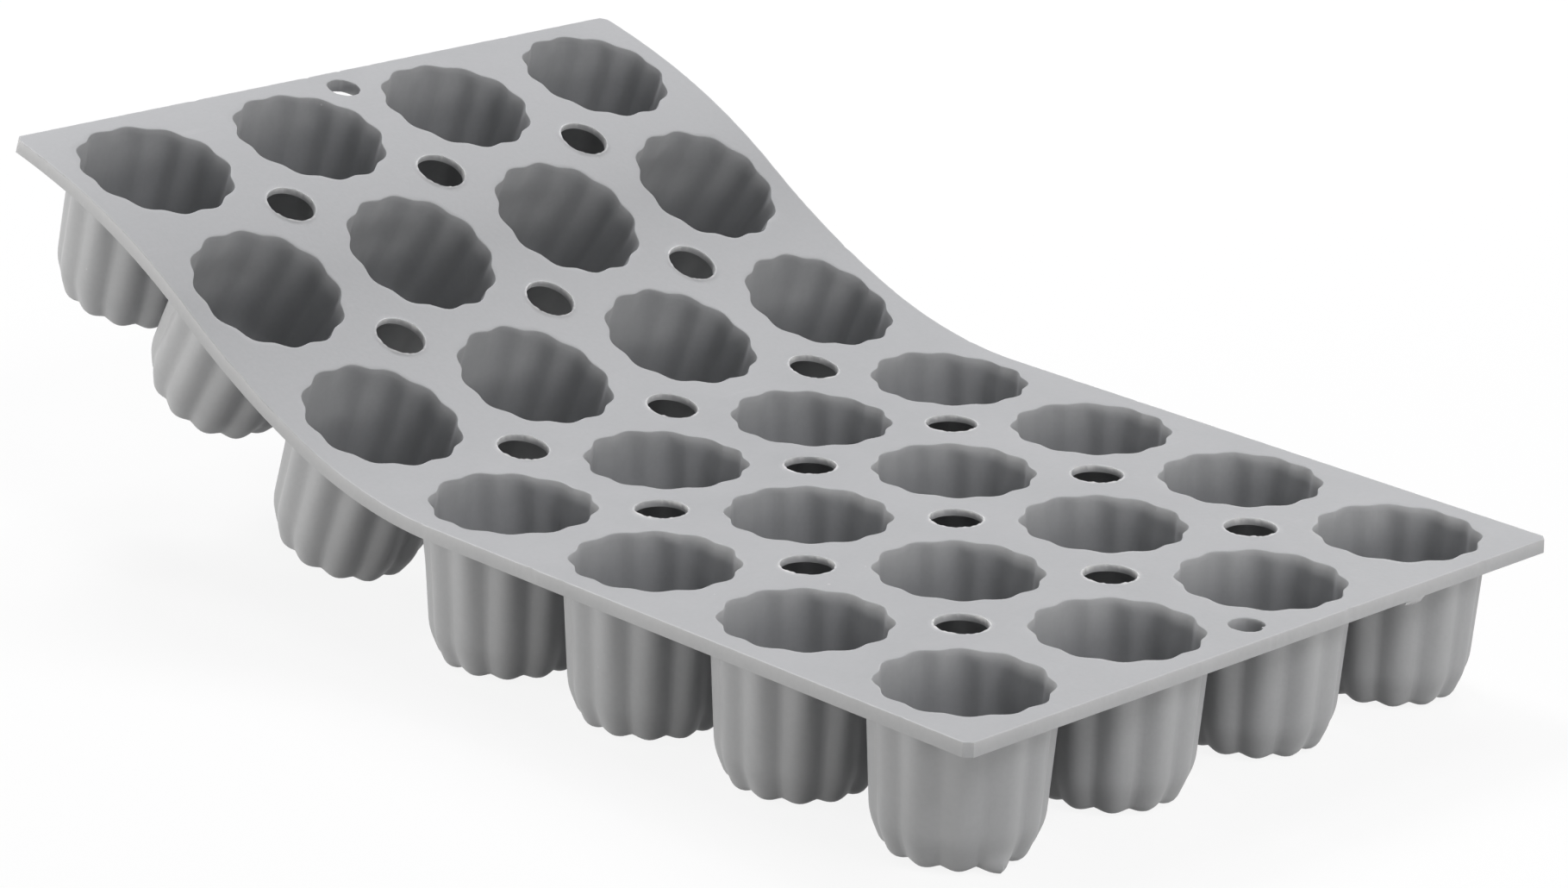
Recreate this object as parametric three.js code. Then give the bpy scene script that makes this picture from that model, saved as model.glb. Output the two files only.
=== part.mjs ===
// Flexible silicone mould for small fluted cakes: a sheet with rows of cups, bent into a gentle S.
// Millimetres, +Z up. The flat rows stand on their cups' bases at z = 0, and +Y runs to the raised end.
import * as THREE from 'three';

// Grid of cups
const COLUMN_COUNT = 4;
const GAP_ALONG = 4.9;
const GAP_ACROSS = 6;

// Fluted cup, measured from the sheet's top face
const LOBE_COUNT = 12;
const MOUTH_RADIUS = 17.15;
const LOBE_HEIGHT = 0.5;
const CUP_WALL = 1.2;
const CUP_DEPTH = 33.7;
const CUP_TAPER = 3.8;
const SHOULDER_HEIGHT = 6.5;
const SHOULDER_TAPER = 23.1;
const HEEL_HEIGHT = 0.9;
const HEEL_TAPER = 58;
const BASE_THICKNESS = 1.5;
const CUP_SEAT_GAP = 0.3;

// Sheet: a thin web inside a thicker frame
const WEB_THICKNESS = 1.3;
const FRAME_THICKNESS = 3;
const SIDE_FRAME_WIDTH = 3.2;
const END_FRAME_WIDTH = 2.95;
const FRAME_CLEARANCE = 0.4;
const VENT_RADIUS = 5.5;
const HANG_HOLE_RADIUS = 3.9;
const HANG_HOLE_INSET = 7.4;
const HANG_HOLE_LAND = 2.6;

// Bend: tilt of each row in degrees, from the raised end to the flat end, and of the raised edge
const ROW_TILTS = [18, 33, 21.5, 0, 0, 0, 0];
const RAISED_EDGE_TILT = 12.5;
const FLEX_GAP = 0.3;
const DOWN_FLEX_LIMIT = 18;

// Fineness of the facets
const POINTS_PER_LOBE = 2;
const SIDE_STEPS = 4;
const VENT_STEPS = 6;
const HANG_HOLE_STEPS = 12;
const BOSS_STEPS = 6;
const SAME_PLACE = 1e-6;

// Look of the rubber
const RUBBER_COLOUR = 0xaeaeb0;
const RUBBER_ROUGHNESS = 0.62;

// Sizes that follow from those above
const ROW_COUNT = ROW_TILTS.length;
const CUP_OUTER_RADIUS = MOUTH_RADIUS + LOBE_HEIGHT + CUP_WALL;
const ROW_PITCH = 2 * CUP_OUTER_RADIUS + GAP_ALONG;
const COLUMN_PITCH = 2 * CUP_OUTER_RADIUS + GAP_ACROSS;
const WEB_SIDE = (COLUMN_COUNT - 1) / 2 * COLUMN_PITCH + CUP_OUTER_RADIUS + FRAME_CLEARANCE;
const SHEET_SIDE = WEB_SIDE + SIDE_FRAME_WIDTH;
const WEB_END = CUP_OUTER_RADIUS + FRAME_CLEARANCE;
const SHEET_END = WEB_END + END_FRAME_WIDTH;
const FLEX_EDGE = (ROW_PITCH - FLEX_GAP) / 2;
const CUP_RIM_DEPTH = WEB_THICKNESS + CUP_SEAT_GAP;
const ROUND_POINTS = LOBE_COUNT * POINTS_PER_LOBE;
const radians = THREE.MathUtils.degToRad;

// The sheet's top face seen from the side: arcs joined end to end, starting at the flat end's edge.
// Station 0 is the centre of the last row, and stations grow along the sheet towards the raised end.
function bendArcs() {
  const tilts = ROW_TILTS.map((tilt) => radians(tilt)).reverse();
  const knots = tilts.map((tilt, index) => ({ station: index * ROW_PITCH, tilt }));
  const last = knots[knots.length - 1];
  knots.unshift({ station: -SHEET_END, tilt: tilts[0] });
  knots.push({ station: last.station + SHEET_END, tilt: radians(RAISED_EDGE_TILT) });
  const arcs = [];
  let start = { y: -SHEET_END, z: CUP_DEPTH };
  for (let index = 0; index + 1 < knots.length; index += 1) {
    const from = knots[index];
    const to = knots[index + 1];
    const arc = { ...start, ...from, end: to.station };
    arc.curvature = (to.tilt - from.tilt) / (to.station - from.station);
    arcs.push(arc);
    start = alongArc(arc, to.station);
  }
  return arcs;
}

// Place and tilt of the sheet's top face at a station on one arc.
function alongArc(arc, station) {
  const run = station - arc.station;
  const tilt = arc.tilt + arc.curvature * run;
  if (arc.curvature === 0) {
    return { y: arc.y + run * Math.cos(tilt), z: arc.z + run * Math.sin(tilt), tilt };
  }
  return {
    y: arc.y + (Math.sin(tilt) - Math.sin(arc.tilt)) / arc.curvature,
    z: arc.z + (Math.cos(arc.tilt) - Math.cos(tilt)) / arc.curvature,
    tilt,
  };
}

const ARCS = bendArcs();

function rowStation(row) {
  return (ROW_COUNT - row) * ROW_PITCH;
}

function sheetAt(station) {
  const arc = ARCS.find((candidate) => station <= candidate.end) ?? ARCS[ARCS.length - 1];
  return alongArc(arc, station);
}

// Point at a depth under the top face, with the face's slope at that station.
function underSheet(x, station, depth) {
  const face = sheetAt(station);
  return new THREE.Vector3(x, face.y + depth * Math.sin(face.tilt), face.z - depth * Math.cos(face.tilt));
}

// Point in the straight, tilted frame of one row: x across, run along the row's own slope.
function inRow(row, x, run, depth) {
  const face = sheetAt(rowStation(row));
  const slope = new THREE.Vector2(Math.cos(face.tilt), Math.sin(face.tilt));
  return new THREE.Vector3(
    x,
    face.y + run * slope.x + depth * slope.y,
    face.z + run * slope.y - depth * slope.x,
  );
}

// Lean of a flex line's two faces, so that they meet only at the downward flex limit.
function flexLean(upperRow) {
  const restBend = ROW_TILTS[upperRow - 1] - ROW_TILTS[upperRow];
  return Math.tan(radians((restBend + DOWN_FLEX_LIMIT) / 2));
}

function columnPlace(column) {
  return (column - (COLUMN_COUNT + 1) / 2) * COLUMN_PITCH;
}

function spread(from, to, steps) {
  return Array.from({ length: steps + 1 }, (_, index) => from + (to - from) * index / steps);
}

function arcPoints(x, y, radius, from, to, steps) {
  return spread(from, to, steps).map(
    (turn) => new THREE.Vector2(x + radius * Math.cos(turn), y + radius * Math.sin(turn)),
  );
}

// Fluted outline round a centre: crests halfway between the row and column directions.
function fluted(radius, index) {
  const turn = 2 * Math.PI * index / ROUND_POINTS;
  const reach = radius - LOBE_HEIGHT * Math.cos(LOBE_COUNT * turn);
  return new THREE.Vector2(reach * Math.cos(turn), reach * Math.sin(turn));
}

function toMesh(name, points, faces) {
  const geometry = new THREE.BufferGeometry();
  geometry.setFromPoints(points);
  geometry.setIndex(faces.flat());
  geometry.computeVertexNormals();
  const rubber = new THREE.MeshStandardMaterial({
    color: RUBBER_COLOUR,
    roughness: RUBBER_ROUGHNESS,
    metalness: 0,
  });
  const mesh = new THREE.Mesh(geometry, rubber);
  mesh.name = name;
  return mesh;
}

// Joins flat regions of different thickness that share their border points into one closed shell.
// A region is { contour, holes, levels }, where levels are the depths of its bands, from 0 to its underside.
function shellFaces(regions, place) {
  const points = [];
  const faces = [];
  const known = new Map();
  const vertex = (spot, depth) => {
    const key = [spot.x, spot.y, depth].map((value) => value.toFixed(4)).join(' ');
    if (!known.has(key)) {
      known.set(key, points.length);
      points.push(place(spot.x, spot.y, depth));
    }
    return known.get(key);
  };
  const edgeName = (from, to) => [from.x, from.y, to.x, to.y].map((value) => value.toFixed(4)).join(' ');
  const undersides = new Map();
  const loopsOf = (region) => [region.contour, ...region.holes];
  const edgesOf = (loop) => loop.map((spot, index) => [spot, loop[(index + 1) % loop.length]]);
  for (const region of regions) {
    for (const [from, to] of loopsOf(region).flatMap(edgesOf)) {
      undersides.set(edgeName(from, to), region.levels[region.levels.length - 1]);
    }
  }
  for (const region of regions) {
    const spots = loopsOf(region).flat();
    const underside = region.levels[region.levels.length - 1];
    for (const [a, b, c] of THREE.ShapeUtils.triangulateShape(region.contour, region.holes)) {
      const turned = THREE.ShapeUtils.area([spots[a], spots[b], spots[c]]) < 0;
      const [first, second, third] = (turned ? [a, c, b] : [a, b, c]).map((index) => spots[index]);
      faces.push([vertex(first, 0), vertex(second, 0), vertex(third, 0)]);
      faces.push([vertex(first, underside), vertex(third, underside), vertex(second, underside)]);
    }
    for (const [from, to] of loopsOf(region).flatMap(edgesOf)) {
      const neighbour = undersides.get(edgeName(to, from)) ?? 0;
      for (let band = 0; band + 1 < region.levels.length; band += 1) {
        const [top, bottom] = [region.levels[band], region.levels[band + 1]];
        if (top >= neighbour) {
          faces.push([vertex(from, top), vertex(from, bottom), vertex(to, bottom)]);
          faces.push([vertex(from, top), vertex(to, bottom), vertex(to, top)]);
        }
      }
    }
  }
  return { points, faces };
}

// Edge of the web at a flex line, left to right, with half of each vent hole cut out of it.
function flexLine() {
  const line = [new THREE.Vector2(-WEB_SIDE, FLEX_EDGE)];
  const start = Math.asin(FLEX_GAP / 2 / VENT_RADIUS);
  for (let column = 1; column < COLUMN_COUNT; column += 1) {
    const x = columnPlace(column) + COLUMN_PITCH / 2;
    const notch = arcPoints(x, ROW_PITCH / 2, VENT_RADIUS, Math.PI + start, 2 * Math.PI - start, VENT_STEPS);
    notch[0].y = FLEX_EDGE;
    notch[VENT_STEPS].y = FLEX_EDGE;
    line.push(...notch);
  }
  line.push(new THREE.Vector2(WEB_SIDE, FLEX_EDGE));
  return line;
}

// Edge of the web at an end of the sheet, left to right, going round the boss of the hanging hole.
function endLine() {
  const bossRadius = HANG_HOLE_RADIUS + HANG_HOLE_LAND;
  const bossPlace = SHEET_END - HANG_HOLE_INSET;
  const start = Math.asin((WEB_END - bossPlace) / bossRadius);
  const boss = arcPoints(0, bossPlace, bossRadius, Math.PI - start, 2 * Math.PI + start, BOSS_STEPS);
  boss[0].y = WEB_END;
  boss[BOSS_STEPS].y = WEB_END;
  return [new THREE.Vector2(-WEB_SIDE, WEB_END), ...boss, new THREE.Vector2(WEB_SIDE, WEB_END)];
}

// Turns a line drawn for the raised side of a row to the other side, still running left to right.
function onSide(line, side) {
  return line.map((spot) => new THREE.Vector2(spot.x, side * spot.y));
}

function rail(side, runs) {
  const inner = runs.map((run) => new THREE.Vector2(side * WEB_SIDE, run));
  const outer = runs.map((run) => new THREE.Vector2(side * SHEET_SIDE, run));
  const contour = side > 0 ? [...outer, ...inner.reverse()] : [...inner, ...outer.reverse()];
  return { contour, holes: [], levels: [0, WEB_THICKNESS, FRAME_THICKNESS] };
}

// Bar across an end of the sheet, with its boss and hanging hole.
function endBar(side) {
  const corner = (x, y) => new THREE.Vector2(x, side * y);
  const inner = [corner(-SHEET_SIDE, WEB_END), ...onSide(endLine(), side), corner(SHEET_SIDE, WEB_END)];
  const outer = [corner(-SHEET_SIDE, SHEET_END), corner(SHEET_SIDE, SHEET_END)];
  const contour = side > 0 ? [...inner, ...outer.reverse()] : [...outer, ...inner.reverse()];
  const holePlace = side * (SHEET_END - HANG_HOLE_INSET);
  const hole = arcPoints(0, holePlace, HANG_HOLE_RADIUS, 2 * Math.PI, 0, HANG_HOLE_STEPS);
  hole.pop();
  return { contour, holes: [hole], levels: [0, WEB_THICKNESS, FRAME_THICKNESS] };
}

function flutedRing(column, radius) {
  const centre = new THREE.Vector2(columnPlace(column), 0);
  return Array.from({ length: ROUND_POINTS }, (_, index) => fluted(radius, index).add(centre));
}

// One row's strip of the sheet, bent with the sheet, with its mouths, half vents and frame.
function rowSheet(row) {
  const raisedEnd = row === 1;
  const flatEnd = row === ROW_COUNT;
  const lower = onSide(flatEnd ? endLine() : flexLine(), -1);
  const upper = raisedEnd ? endLine() : flexLine();
  const runs = spread(lower[0].y, upper[0].y, SIDE_STEPS);
  const sideSpots = (side) => runs.slice(1, -1).map((run) => new THREE.Vector2(side * WEB_SIDE, run));
  const contour = [...lower, ...sideSpots(1), ...upper.reverse(), ...sideSpots(-1).reverse()];
  const web = { contour, holes: [], levels: [0, WEB_THICKNESS] };
  const regions = [web, rail(-1, runs), rail(1, runs)];
  for (let column = 1; column <= COLUMN_COUNT; column += 1) {
    const collar = flutedRing(column, MOUTH_RADIUS + CUP_WALL);
    const mouth = flutedRing(column, MOUTH_RADIUS);
    regions.push({ contour: collar, holes: [mouth.reverse()], levels: web.levels });
    web.holes.push([...collar].reverse());
  }
  if (raisedEnd) {
    regions.push(endBar(1));
  }
  if (flatEnd) {
    regions.push(endBar(-1));
  }
  const raisedLean = raisedEnd ? 0 : flexLean(row - 1);
  const flatLean = flatEnd ? 0 : flexLean(row);
  const { points, faces } = shellFaces(regions, (x, run, depth) => {
    const onRaisedFlex = !raisedEnd && Math.abs(run - FLEX_EDGE) < SAME_PLACE;
    const onFlatFlex = !flatEnd && Math.abs(run + FLEX_EDGE) < SAME_PLACE;
    const pull = depth * (onFlatFlex * flatLean - onRaisedFlex * raisedLean);
    return underSheet(x, rowStation(row) + run + pull, depth);
  });
  return toMesh(`row_${row}_sheet`, points, faces);
}

// Side of a cup from its rim to its base, which narrows faster below the shoulder and again below the heel.
function cupSide(wall, base) {
  const rimRadius = MOUTH_RADIUS + wall - CUP_RIM_DEPTH * Math.tan(radians(CUP_TAPER));
  const side = [{ radius: rimRadius, depth: CUP_RIM_DEPTH }];
  const narrowTo = (depth, taper) => {
    const above = side[side.length - 1];
    side.push({ radius: above.radius - (depth - above.depth) * Math.tan(radians(taper)), depth });
  };
  narrowTo(CUP_DEPTH - SHOULDER_HEIGHT, CUP_TAPER);
  narrowTo(base - HEEL_HEIGHT, SHOULDER_TAPER);
  narrowTo(base, HEEL_TAPER);
  return side;
}

// One cup: a fluted shell, straight in its row's frame, whose rim follows the bent sheet above it.
function cup(row, column) {
  const place = (spot, depth) => {
    const x = columnPlace(column) + spot.x;
    if (depth === CUP_RIM_DEPTH) {
      return underSheet(x, rowStation(row) + spot.y, depth);
    }
    return inRow(row, x, spot.y, depth);
  };
  const outside = cupSide(CUP_WALL, CUP_DEPTH).reverse();
  const inside = cupSide(0, CUP_DEPTH - BASE_THICKNESS);
  const rings = [...outside, ...inside];
  const points = rings.flatMap(({ radius, depth }) => (
    Array.from({ length: ROUND_POINTS }, (_, index) => place(fluted(radius, index), depth))
  ));
  const middle = new THREE.Vector2();
  const outerPole = points.push(place(middle, CUP_DEPTH)) - 1;
  const innerPole = points.push(place(middle, CUP_DEPTH - BASE_THICKNESS)) - 1;
  const faces = [];
  for (let index = 0; index < ROUND_POINTS; index += 1) {
    const next = (index + 1) % ROUND_POINTS;
    faces.push([outerPole, next, index]);
    for (let ring = 0; ring + 1 < rings.length; ring += 1) {
      const low = ring * ROUND_POINTS;
      const high = low + ROUND_POINTS;
      faces.push([low + index, low + next, high + next]);
      faces.push([low + index, high + next, high + index]);
    }
    const top = (rings.length - 1) * ROUND_POINTS;
    faces.push([innerPole, top + index, top + next]);
  }
  return toMesh(`row_${row}_cup_${column}`, points, faces);
}

const mould = new THREE.Group();
for (let row = 1; row <= ROW_COUNT; row += 1) {
  const rowGroup = new THREE.Group();
  rowGroup.add(rowSheet(row));
  for (let column = 1; column <= COLUMN_COUNT; column += 1) {
    rowGroup.add(cup(row, column));
  }
  mould.add(rowGroup);
}

// The origin is under the middle of the whole mould, on the surface that it stands on.
const reach = new THREE.Box3().setFromObject(mould);
mould.position.y = -(reach.min.y + reach.max.y) / 2;

export default mould;
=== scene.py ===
"""Grey silicone mould for small fluted cakes: its bent sheet, its cups and the studio round them.

Sizes are in millimetres and meshes in metres, in the frame's own axes: +X across the sheet, +Y towards
its raised end and +Z up. A station is a distance along the bent sheet from the last row's centre line.
"""
import logging
import math
from dataclasses import dataclass, field
from enum import Enum
from typing import ClassVar

import bpy
import numpy as np
from mathutils import Matrix, Vector
from numpy.typing import NDArray


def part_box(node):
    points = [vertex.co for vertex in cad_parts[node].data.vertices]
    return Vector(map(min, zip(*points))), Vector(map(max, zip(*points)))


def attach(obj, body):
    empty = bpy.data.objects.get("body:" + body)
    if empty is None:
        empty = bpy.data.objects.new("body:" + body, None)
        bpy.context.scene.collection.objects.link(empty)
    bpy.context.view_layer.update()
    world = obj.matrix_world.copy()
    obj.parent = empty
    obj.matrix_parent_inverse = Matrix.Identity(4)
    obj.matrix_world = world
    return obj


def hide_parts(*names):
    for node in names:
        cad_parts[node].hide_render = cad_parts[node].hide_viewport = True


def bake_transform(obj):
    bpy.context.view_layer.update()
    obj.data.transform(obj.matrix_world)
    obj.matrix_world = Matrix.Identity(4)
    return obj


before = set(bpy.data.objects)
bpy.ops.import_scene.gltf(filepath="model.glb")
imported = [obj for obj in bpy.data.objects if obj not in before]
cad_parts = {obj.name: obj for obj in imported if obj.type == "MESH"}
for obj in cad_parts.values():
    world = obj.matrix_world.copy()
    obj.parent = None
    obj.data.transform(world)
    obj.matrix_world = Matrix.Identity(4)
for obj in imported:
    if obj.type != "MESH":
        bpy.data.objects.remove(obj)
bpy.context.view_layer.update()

Floats = NDArray[np.float64]
Indexes = NDArray[np.int64]
Flags = NDArray[np.bool_]
Colour = tuple[float, float, float, float]

MM = 0.001
WELD = 1e-4
SAME = 1e-6
TINY = 1e-9
FULL_TURN = 2.0 * math.pi
SHARP_ANGLE = math.radians(40.0)
TEAR_COUNTS = np.array([2.0, 5.0, 9.0, 16.0, 23.0, 37.0])
TEAR_PHASES = np.array([1.7, 2.9, 4.1, 0.6, 5.3, 3.7])
TEAR_WEIGHTS = np.array([0.22, 0.16, 0.2, 0.18, 0.16, 0.12])
TEAR_LEVEL = 0.3
log = logging.getLogger("mould")


def smoothstep(low: float, high: float, value: Floats) -> Floats:
    """Rise from 0 to 1 between low and high, as 3 t^2 - 2 t^3."""
    share = np.clip((value - low) / (high - low), 0.0, 1.0)
    return share * share * (3.0 - 2.0 * share)


def mix(first: Floats | float, second: Floats | float, share: Floats | float) -> Floats:
    """Go from the first towards the second by a share of the way."""
    return first + (second - first) * share


def rays(turns: Floats) -> Floats:
    """Unit steps at some angles, with a last axis of across and along."""
    return np.stack([np.cos(turns), np.sin(turns)], axis=-1)


def bearings(places: Floats) -> Floats:
    """Angles of places whose last axis is across and along."""
    return np.arctan2(places[..., 1], places[..., 0])


def ragged(turn: Floats, seed: float) -> Floats:
    """Uneven height round a torn edge.

    Formula: a clipped sum of sines, each with a whole number of waves round the edge and a phase that
    grows with the seed.

    Args:
        turn: Angles round the edge, in radians.
        seed: Number that sets the phases, so that no two edges are alike.

    Returns:
        Heights from 0 to 1.
    """
    waves = np.sin(turn[..., None] * TEAR_COUNTS + seed * TEAR_PHASES) @ TEAR_WEIGHTS
    return np.clip(TEAR_LEVEL + waves, 0.0, 1.0)


class Side(Enum):
    """Sides of a cell of the sheet, as steps across and along it."""

    RIGHT = (1, 0)
    LEFT = (-1, 0)
    RAISED = (0, 1)
    FLAT = (0, -1)


def way_out(across: Side, along: Side) -> Indexes:
    """Steps of 1 or -1 across and along, towards the corner where two sides meet."""
    return np.add(across.value, along.value)


@dataclass(frozen=True)
class MouldSizes:
    """Sizes that the sheet and its cups share."""

    flat_row_y: float
    sheet_height: float
    row_pitch: float
    column_pitch: float
    side_margin: float
    end_margin: float
    rows: int = 7
    columns: int = 4
    web: float = 1.3
    rim: float = 3.0
    side_rim_width: float = 3.2
    end_rim_width: float = 2.95
    rim_slope: float = 0.7
    vent_radius: float = 5.5
    corner_cut: float = 1.5
    hang_hole_radius: float = 3.9
    hang_hole_inset: float = 7.4
    hang_boss_land: float = 2.6

    @classmethod
    def from_frame(cls) -> "MouldSizes":
        """Read the grid's pitches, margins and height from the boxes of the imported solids."""
        names = ("row_7_cup_1", "row_7_cup_2", "row_6_cup_1", "row_7_sheet")
        last, beside, behind, sheet = (np.array(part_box(name)) / MM for name in names)
        centre = last.mean(axis=0)
        return cls(
            flat_row_y=centre[1],
            sheet_height=sheet[1, 2],
            row_pitch=behind[:, 1].mean() - centre[1],
            column_pitch=beside[:, 0].mean() - centre[0],
            side_margin=centre[0] - sheet[0, 0],
            end_margin=centre[1] - sheet[0, 1],
        )

    def row_station(self, row: int) -> float:
        """Station of a row's centre line."""
        return (self.rows - row) * self.row_pitch

    def column_place(self, column: int) -> float:
        """Place of a column's centre line across the sheet."""
        return (column - (self.columns + 1) / 2) * self.column_pitch

    def underside(self, across: Floats, station: Floats) -> Floats:
        """Depth of the sheet's underside below its top face.

        Formula: the web's thickness, rising by smoothstep to the rim's near the edges and round each
        hanging hole's boss, by the larger of the three shares.

        Args:
            across: Places across the sheet.
            station: Places along it.

        Returns:
            Depths in millimetres.
        """
        last = self.row_station(1)
        from_side = self.column_place(self.columns) + self.side_margin - np.abs(across)
        from_end = self.end_margin - np.maximum(station - last, -station)
        hole = self.end_margin - self.hang_hole_inset
        from_hole = np.minimum(np.hypot(across, station + hole), np.hypot(across, station - last - hole))
        boss = self.hang_hole_radius + self.hang_boss_land
        lands = ((self.side_rim_width, from_side), (self.end_rim_width, from_end), (boss, from_hole))
        share = np.maximum.reduce([
            1.0 - smoothstep(width, width + self.rim_slope, away) for width, away in lands
        ])
        return mix(self.web, self.rim, share)


@dataclass(frozen=True)
class Bend:
    """Tilt of each row in degrees, from the raised end to the flat end, and of the raised edge."""

    row_tilts: tuple[float, ...] = (18.0, 33.0, 21.5, 0.0, 0.0, 0.0, 0.0)
    raised_edge_tilt: float = 12.5
    samples: int = 40001


class SheetCurve:
    """Side view of the sheet's top face, whose tilt changes evenly from each row to the next."""

    def __init__(self, sizes: MouldSizes, bend: Bend) -> None:
        """Add up the cosine and sine of the tilt along the sheet.

        Args:
            sizes: Pitches and margins of the sheet.
            bend: Tilts of the rows.
        """
        self.sizes = sizes
        knots = [sizes.row_station(row) for row in range(sizes.rows, 0, -1)]
        tilts = np.radians([*bend.row_tilts[::-1], bend.raised_edge_tilt])
        knots.append(knots[-1] + sizes.end_margin)
        self.station = np.linspace(-sizes.end_margin, knots[-1], bend.samples)
        self.tilt = np.interp(self.station, knots, tilts)
        self.y = self._summed(np.cos(self.tilt), sizes.flat_row_y)
        self.z = self._summed(np.sin(self.tilt), sizes.sheet_height)

    def _summed(self, slope: Floats, at_flat_row: float) -> Floats:
        """Sum of a slope along the sheet by the trapezium rule, set to a known value at station 0."""
        steps = np.diff(self.station) * (slope[1:] + slope[:-1]) / 2
        total = np.concatenate([[0.0], np.cumsum(steps)])
        return total - np.interp(0.0, self.station, total) + at_flat_row

    def under(self, across: Floats, station: Floats | float, depth: Floats,
              run: Floats | float = 0.0) -> Floats:
        """Points under the bent sheet.

        Formula: the top face at a station, plus a run straight along its slope there, less the depth along
        its normal there.

        Args:
            across: Places across the sheet.
            station: Places along it.
            depth: Depths below its top face.
            run: Distances from the stations, along the slope.

        Returns:
            Points in millimetres, with a last axis of 3.
        """
        tilt = np.interp(station, self.station, self.tilt)
        y = np.interp(station, self.station, self.y) + run * np.cos(tilt) + depth * np.sin(tilt)
        z = np.interp(station, self.station, self.z) + run * np.sin(tilt) - depth * np.cos(tilt)
        return np.stack(np.broadcast_arrays(across, y, z), axis=-1)


class Surface:
    """Grids of points gathered, welded and made into one closed mesh."""

    def __init__(self) -> None:
        """Start with no grids."""
        self._points: list[Floats] = []
        self._flash_and_highlight: list[Floats] = []
        self._quads: list[Indexes] = []
        self._caps: list[Indexes] = []
        self._count = 0

    def add(self, points: Floats, flash_and_highlight: Floats | None = None, keep: Flags | None = None,
            ring_closed: bool = False, capped: bool = False) -> None:
        """Add a grid of points, each ring joined to the next ring and each column to the next column.

        Args:
            points: Places in millimetres, shaped rings by columns by 3.
            flash_and_highlight: How much of each point is lightened, from 0 to 1: thin, pale flash, and
                painted highlights on burrs, sheet edges and mouth lips.
            keep: Which of the grid's faces to keep, shaped joins by columns - 1.
            ring_closed: Whether the last ring joins the first.
            capped: Whether the first and last columns are closed by a face each.
        """
        rings, columns = points.shape[:2]
        joins = np.arange(rings if ring_closed else rings - 1)[:, None]
        column = np.arange(columns - 1)[None, :]
        near = self._count + joins * columns + column
        far = self._count + (joins + 1) % rings * columns + column
        quads = np.stack([near, far, far + 1, near + 1], axis=-1)
        self._quads.append(quads.reshape(-1, 4) if keep is None else quads[keep])
        if capped:
            first = self._count + np.arange(rings) * columns
            self._caps += [first[::-1], first + columns - 1]
        self._points.append(points.reshape(-1, 3))
        self._flash_and_highlight.append(np.zeros(rings * columns) if flash_and_highlight is None else flash_and_highlight.reshape(-1))
        self._count += rings * columns

    def to_object(self, name: str, finish: bpy.types.Material) -> bpy.types.Object:
        """Weld points that fall together and make the mesh, with pinched faces as triangles.

        Args:
            name: Name of the piece.
            finish: Its material.

        Returns:
            The new object, linked to the scene.
        """
        points = np.concatenate(self._points)
        keys = np.round(points / WELD).astype(np.int64)
        _, first, index = np.unique(keys, axis=0, return_index=True, return_inverse=True)
        index = index.reshape(-1)
        quads = index[np.concatenate(self._quads)]
        same = quads == np.roll(quads, -1, axis=1)
        repeats = same.sum(axis=1)
        whole = quads[repeats == 0]
        pinched = quads[repeats == 1][~same[repeats == 1]].reshape(-1, 3)
        caps = [index[cap][index[cap] != np.roll(index[cap], 1)] for cap in self._caps]
        used = np.unique(np.concatenate([whole.ravel(), pinched.ravel(), *caps]))
        place = np.zeros(len(first), dtype=np.int64)
        place[used] = np.arange(len(used))
        faces = place[whole].tolist() + place[pinched].tolist() + [place[cap].tolist() for cap in caps]
        mesh = bpy.data.meshes.new(name)
        mesh.from_pydata((points[first][used] * MM).tolist(), [], faces)
        # Lightening per point: pale flash, and painted highlights on burrs, sheet edges and mouth lips.
        flash_and_highlight = mesh.attributes.new("flash_and_highlight", "FLOAT", "POINT")
        flash_and_highlight.data.foreach_set("value", np.concatenate(self._flash_and_highlight)[first][used].astype(np.float32))
        mesh.shade_smooth()
        mesh.set_sharp_from_angle(angle=SHARP_ANGLE)
        mesh.validate()
        mesh.materials.append(finish)
        made = bpy.data.objects.new(name, mesh)
        bpy.context.scene.collection.objects.link(made)
        return made


@dataclass(frozen=True)
class Fluting:
    """Twelve rounded lobes round a cup, with a groove between each two that sharpens towards the base."""

    count: int = 12
    mouth_depth: float = 1.0
    base_depth: float = 0.95
    mouth_sharpness: float = 0.3
    base_sharpness: float = 0.8
    softness: float = 0.1
    grows_from: float = 4.0
    grows_to: float = 30.0

    def groove(self, turn: Floats, depth: Floats) -> Floats:
        """Distance of the wall behind its crests.

        Formula: with c = |sin(count * turn / 2)|, rounded off near 0, a wave 1 - c^2 and a cusp 1 - c
        are mixed by the sharpness and multiplied by the groove's depth; both grow down the cup.

        Args:
            turn: Angles round the cup.
            depth: Depths below the sheet's top face.

        Returns:
            Distances in millimetres, 0 on the crests.
        """
        lower = smoothstep(self.grows_from, self.grows_to, depth)
        crest = np.sqrt(np.sin(self.count / 2 * turn) ** 2 + self.softness**2)
        crest = np.minimum(crest / math.sqrt(1.0 + self.softness**2), 1.0)
        sharpness = mix(self.mouth_sharpness, self.base_sharpness, lower)
        reach = mix(self.mouth_depth, self.base_depth, lower)
        return reach * ((1.0 - sharpness) * (1.0 - crest**2) + sharpness * (1.0 - crest))


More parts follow.
